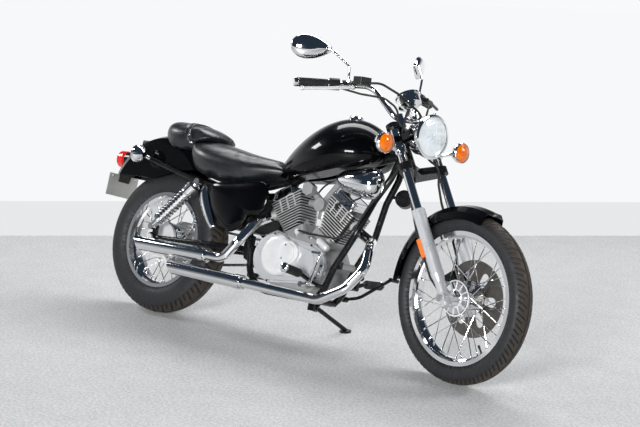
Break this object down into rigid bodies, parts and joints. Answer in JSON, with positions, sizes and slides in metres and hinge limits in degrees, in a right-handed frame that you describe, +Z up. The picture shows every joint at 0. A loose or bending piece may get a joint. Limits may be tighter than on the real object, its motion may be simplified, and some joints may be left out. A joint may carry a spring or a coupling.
{
  "type": "cruiser motorcycle",
  "caption": "Air-cooled V-twin cruiser motorcycle leaning on its side stand, with wire wheels, teardrop tank, stepped seats and twin right-hand silencers.",
  "frame": {"origin": "on the floor, at the centre of the bounding box's underside, the motorcycle leaning on its side stand", "axes": "+X forward along the motorcycle, +Y to its left, the side that it leans to, +Z up"},
  "size_m": [2.181, 0.9126, 1.2159],
  "materials": {
    "chrome": "polished",
    "black_plastic": "satin",
    "black_metal": "satin",
    "bare_steel": "brushed",
    "cast_alloy": "satin",
    "black_rubber": "matt",
    "silver_paint": "satin",
    "orange_lens": "gloss",
    "black_paint": "gloss",
    "tyre": "matt",
    "clear_lens": "clear",
    "plate": "satin",
    "black_vinyl": "satin",
    "red_lens": "gloss"
  },
  "bodies": {
    "chassis_body": {"air_cleaner": "chrome", "battery_box": "black_plastic", "brake_pedal": "chrome", "carburettor": "cast_alloy", "chain": "bare_steel", "clutch_cable": "black_rubber", "clutch_cover": "silver_paint", "cover_trims": "chrome", "engine_cases": "cast_alloy", "exhaust_lower": "chrome", "exhaust_upper": "chrome", "foot_controls": "black_metal", "footrest_rubbers": "black_rubber", "frame": "black_metal", "front_cylinder": "cast_alloy", "fuel_cap": "chrome", "fuel_tank": "black_paint", "head_covers": "chrome", "horn": "black_metal", "left_engine_cover": "silver_paint", "number_plate": "plate", "pillion_seat": "black_vinyl", "rear_axle": "cast_alloy", "rear_bracket": "black_metal", "rear_cylinder": "cast_alloy", "rear_fender": "black_paint", "rear_signal_lenses": "orange_lens", "rear_signals": "chrome", "rider_seat": "black_vinyl", "shocks": "chrome", "side_covers": "black_paint", "swingarm": "black_metal", "tail_light": "red_lens"},
    "steering_body": {"bar_controls": "black_plastic", "brake_caliper": "black_metal", "fork_reflectors": "orange_lens", "fork_sliders": "silver_paint", "fork_tubes": "chrome", "front_axle": "bare_steel", "front_cables": "black_rubber", "front_fender": "black_paint", "front_signal_lenses": "orange_lens", "front_signals": "chrome", "grips": "black_rubber", "handlebar": "chrome", "headlight": "chrome", "headlight_brackets": "black_metal", "headlight_lens": "clear_lens", "levers": "cast_alloy", "master_cylinder": "black_plastic", "mirrors": "chrome", "speedometer": "chrome", "triple_clamps": "black_metal"},
    "front_wheel_body": {"brake_disc": "bare_steel", "front_tyre": "tyre", "front_wheel": "chrome"},
    "rear_wheel_body": {"rear_sprocket": "bare_steel", "rear_tyre": "tyre", "rear_wheel": "chrome"},
    "side_stand_body": {"side_stand": "black_metal"}
  },
  "joints": [
    {"name": "steering", "type": "hinge", "parent": "chassis_body", "child": "steering_body", "pos_m": [0.41237, -0.02808, 0.75627], "axis": [-0.5316, 0.2621, 0.8054], "range_deg": [-24.6, 51.4]},
    {"name": "front_wheel_spin", "type": "hinge", "parent": "steering_body", "child": "front_wheel_body", "pos_m": [0.78668, -0.19063, 0.30454], "axis": [0.1969, 0.9631, -0.1834], "continuous": true},
    {"name": "rear_wheel_spin", "type": "hinge", "parent": "chassis_body", "child": "rear_wheel_body", "pos_m": [-0.69983, -0.17724, 0.29484], "axis": [0.0007, 0.9511, -0.309], "continuous": true},
    {"name": "side_stand_fold", "type": "hinge", "parent": "chassis_body", "child": "side_stand_body", "pos_m": [0.05752, -0.1203, 0.12864], "axis": [-0.0016, 0.64, 0.7684], "range_deg": [0, 90]}
  ]
}
